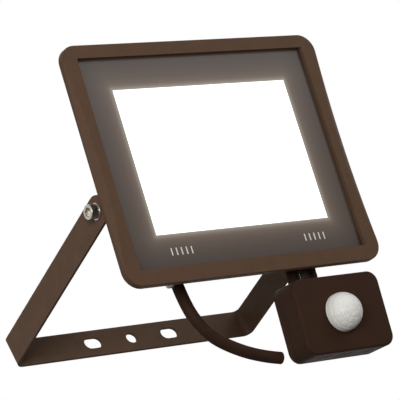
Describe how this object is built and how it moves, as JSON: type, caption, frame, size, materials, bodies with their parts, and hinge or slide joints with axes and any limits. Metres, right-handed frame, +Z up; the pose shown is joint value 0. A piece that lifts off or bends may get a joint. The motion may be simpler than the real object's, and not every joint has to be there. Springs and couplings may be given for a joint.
{
  "type": "motion sensor security light",
  "caption": "Slim rectangular floodlight that tilts in a U-shaped wall bracket, with a tilting motion sensor below it and a short supply cord.",
  "frame": {"origin": "centre of the bracket's mounting face, midway between its two slots, on the wall plane", "axes": "+Y out of the mounting face into the wall, so the light stands out along -Y and is seen from -Y; +X to the viewer's right; +Z up"},
  "size_m": [0.2162, 0.2021, 0.2156],
  "materials": {
    "coated_steel": "matt dark bronze powder coat",
    "coated_aluminium": "matt dark bronze powder coat",
    "clear_glass": "polished",
    "rubber": "matt",
    "steel": "zinc plated",
    "white_plastic": "matt",
    "grey_pad": "matt",
    "board_metal": "white solder mask",
    "phosphor": "gloss",
    "green_board": "satin",
    "dark_core": "matt",
    "blue_plastic": "matt",
    "wire_insulation": "satin",
    "dark_plastic": "satin",
    "lens_plastic": "translucent"
  },
  "bodies": {
    "bracket": {"mounting_bracket": "coated_steel"},
    "lamp_head": {"front_frame": "coated_aluminium", "frame_screws": "steel", "front_glass": "clear_glass", "glass_seal": "rubber", "reflector": "white_plastic", "led_board": "board_metal", "led_chips": "phosphor", "board_screws": "steel", "thermal_pad": "grey_pad", "rear_housing": "coated_aluminium", "cover_seal": "rubber", "rear_cover": "coated_aluminium", "cover_screws": "steel", "terminal_block": "white_plastic", "terminal_screws": "steel", "driver_board": "green_board", "driver_coil": "dark_core", "driver_capacitor": "dark_core", "led_leads": "wire_insulation", "mains_leads": "wire_insulation", "cable_gland": "dark_plastic", "gland_seal": "rubber", "gland_nut": "dark_plastic", "cord_tail": "rubber", "supply_cord": "rubber", "earth_screw": "steel", "pivot_screws": "steel", "flat_washers": "steel", "spring_washers": "steel", "sensor_bracket": "dark_plastic", "sensor_bracket_screws": "steel", "lead_bush_upper": "rubber", "sensor_lead": "rubber", "hinge_screw": "steel", "hinge_nut": "steel"},
    "sensor": {"sensor_front_cover": "dark_plastic", "sensor_rear_case": "dark_plastic", "sensor_seal": "rubber", "sensor_case_screws": "steel", "sensor_lens": "lens_plastic", "sensor_board": "green_board", "pir_detector": "steel", "sensor_relay": "blue_plastic", "sensor_capacitor": "dark_core", "adjusters": "blue_plastic", "lead_bush_lower": "rubber"},
    "time_knob": {"time_knob": "dark_plastic"},
    "daylight_knob": {"daylight_knob": "dark_plastic"},
    "range_knob": {"range_knob": "dark_plastic"}
  },
  "joints": [
    {"name": "head_tilt", "type": "hinge", "parent": "bracket", "child": "lamp_head", "pos_m": [0, -0.1537, 0], "axis": [1, 0, 0], "range_deg": [-105, 70]},
    {"name": "sensor_tilt", "type": "hinge", "parent": "lamp_head", "child": "sensor", "pos_m": [0.0563, -0.12961, -0.05479], "axis": [1, 0, 0], "range_deg": [-15, 60], "deforming": ["sensor_lead"]},
    {"name": "time_turn", "type": "hinge", "parent": "sensor", "child": "time_knob", "pos_m": [0.0435, -0.11919, -0.11166], "axis": [0, -0.3559, 0.9345], "range_deg": [-135, 135]},
    {"name": "daylight_turn", "type": "hinge", "parent": "sensor", "child": "daylight_knob", "pos_m": [0.0615, -0.11919, -0.11166], "axis": [0, -0.3559, 0.9345], "range_deg": [-135, 135]},
    {"name": "range_turn", "type": "hinge", "parent": "sensor", "child": "range_knob", "pos_m": [0.0795, -0.11919, -0.11166], "axis": [0, -0.3559, 0.9345], "range_deg": [-135, 135]}
  ]
}
